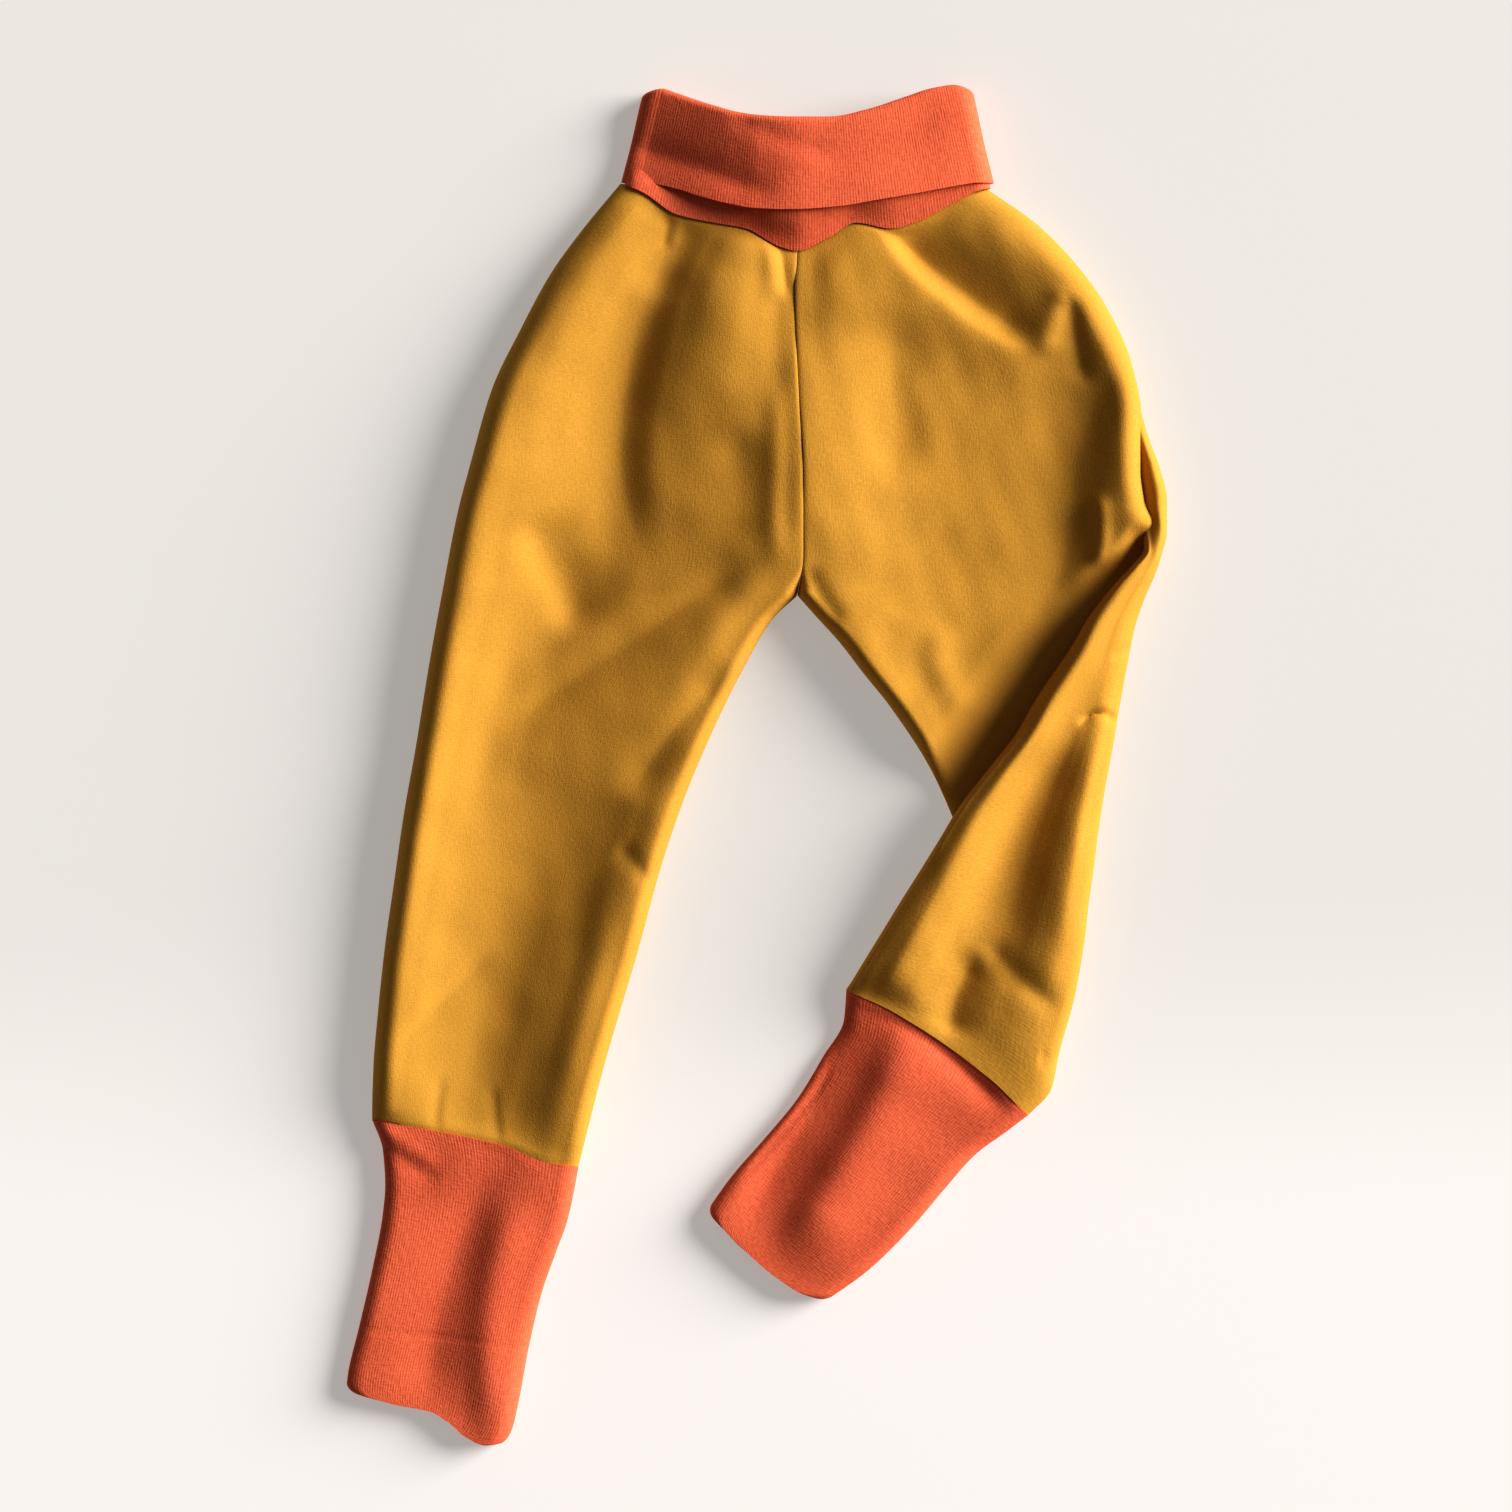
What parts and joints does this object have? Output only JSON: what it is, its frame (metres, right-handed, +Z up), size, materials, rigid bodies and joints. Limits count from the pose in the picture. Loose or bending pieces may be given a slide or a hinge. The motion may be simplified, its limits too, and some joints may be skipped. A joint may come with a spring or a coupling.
{
  "type": "outdoor trousers",
  "caption": "Toddler's yellow outdoor trousers with orange rib waistband and cuffs, laid flat with the left lower leg turned over.",
  "frame": {"origin": "on the surface underneath, under the middle of the whole garment's outline", "axes": "+Y towards the waist along the garment's length, +X towards the wearer's left leg, +Z up from the surface that it lies on"},
  "size_m": [0.3524, 0.5788, 0.0331],
  "materials": {
    "softshell": "matte fine woven",
    "rib": "matte rib knit"
  },
  "bodies": {
    "root": {"waistband": "rib", "leg_right": "softshell", "leg_left": "softshell", "leg_left_turned": "softshell", "cuff_right": "rib", "cuff_left": "rib"}
  },
  "joints": []
}
